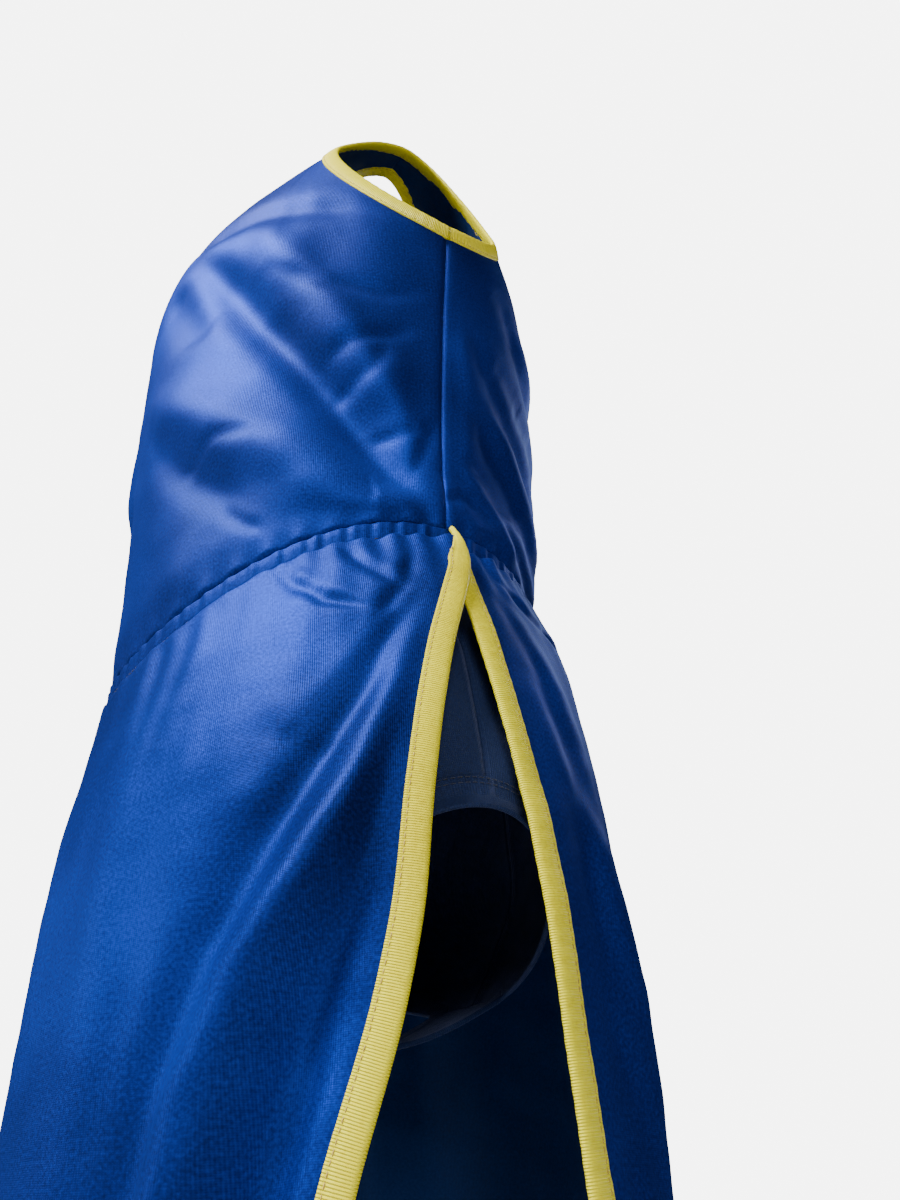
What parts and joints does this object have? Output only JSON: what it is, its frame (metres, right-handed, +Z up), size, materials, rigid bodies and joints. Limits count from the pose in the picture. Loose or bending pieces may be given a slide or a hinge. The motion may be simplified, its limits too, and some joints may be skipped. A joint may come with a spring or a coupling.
{
  "type": "sleeveless costume dress with split skirt and built-in shorts",
  "caption": "Sleeveless satin costume dress with bound armholes, a gathered waist, a skirt slit to the waist at both sides, and shorts underneath.",
  "frame": {"origin": "Midway between the two shoulder straps, at the height where they rest on the wearer's shoulders.", "axes": "+Z is up, the front of the dress faces -Y, +X is the wearer's left."},
  "size_m": [0.3322, 0.2964, 1.0283],
  "materials": {
    "satin_blue": "royal blue stretch satin knit, soft sheen",
    "satin_reverse": "duller reverse side of the satin knit",
    "binding_yellow": "yellow satin knit binding, fine crosswise ribs",
    "knit_navy": "dark navy stretch knit, matte",
    "elastic_white": "woven white elastic",
    "label_white": "blank satin ribbon label",
    "zip_tape": "woven zip tape",
    "zip_coil": "nylon coil",
    "zip_metal": "blue lacquered zip metal"
  },
  "bodies": {
    "dress": {"bodice_front": "satin_blue", "bodice_back_left": "satin_blue", "bodice_back_right": "satin_blue", "armhole_binding_left": "binding_yellow", "armhole_binding_right": "binding_yellow", "neck_binding": "binding_yellow", "side_seam_left": "satin_reverse", "side_seam_right": "satin_reverse", "care_label": "label_white", "waist_casing": "satin_blue", "waist_elastic": "elastic_white", "skirt_front_hip": "satin_blue", "skirt_back_hip": "satin_blue", "slit_binding_front_left_top": "binding_yellow", "slit_binding_front_right_top": "binding_yellow", "slit_binding_back_left_top": "binding_yellow", "slit_binding_back_right_top": "binding_yellow", "shorts_front_left": "knit_navy", "shorts_front_right": "knit_navy", "shorts_back_left": "knit_navy", "shorts_back_right": "knit_navy", "shorts_gusset": "knit_navy", "shorts_leg_band_left": "knit_navy", "shorts_leg_band_right": "knit_navy", "shorts_waistband": "knit_navy", "zip_coil_left": "zip_coil", "zip_coil_right": "zip_coil", "zip_tape_left": "zip_tape", "zip_tape_right": "zip_tape", "zip_bottom_stop": "zip_metal"},
    "front_panel": {"skirt_front_panel": "satin_blue", "skirt_front_hem": "satin_reverse", "slit_binding_front_left": "binding_yellow", "slit_binding_front_right": "binding_yellow"},
    "back_panel": {"skirt_back_panel": "satin_blue", "skirt_back_hem": "satin_reverse", "slit_binding_back_left": "binding_yellow", "slit_binding_back_right": "binding_yellow"},
    "zip_slider": {"zip_slider": "zip_metal"},
    "zip_pull": {"zip_pull": "zip_metal"}
  },
  "joints": [
    {"name": "front_panel_swing", "type": "hinge", "parent": "dress", "child": "front_panel", "pos_m": [0, -0.101, -0.583], "axis": [-1, 0, 0], "range_deg": [0, 60]},
    {"name": "back_panel_swing", "type": "hinge", "parent": "dress", "child": "back_panel", "pos_m": [0, 0.094, -0.583], "axis": [1, 0, 0], "range_deg": [0, 60]},
    {"name": "zip_slide", "type": "slide", "parent": "dress", "child": "zip_slider", "axis": [0, 0.3815, -0.9244], "range_m": [0, 0.147]},
    {"name": "zip_pull_flip", "type": "hinge", "parent": "zip_slider", "child": "zip_pull", "pos_m": [0, 0.05513, -0.04667], "axis": [1, 0, 0], "range_deg": [0, 150]}
  ]
}
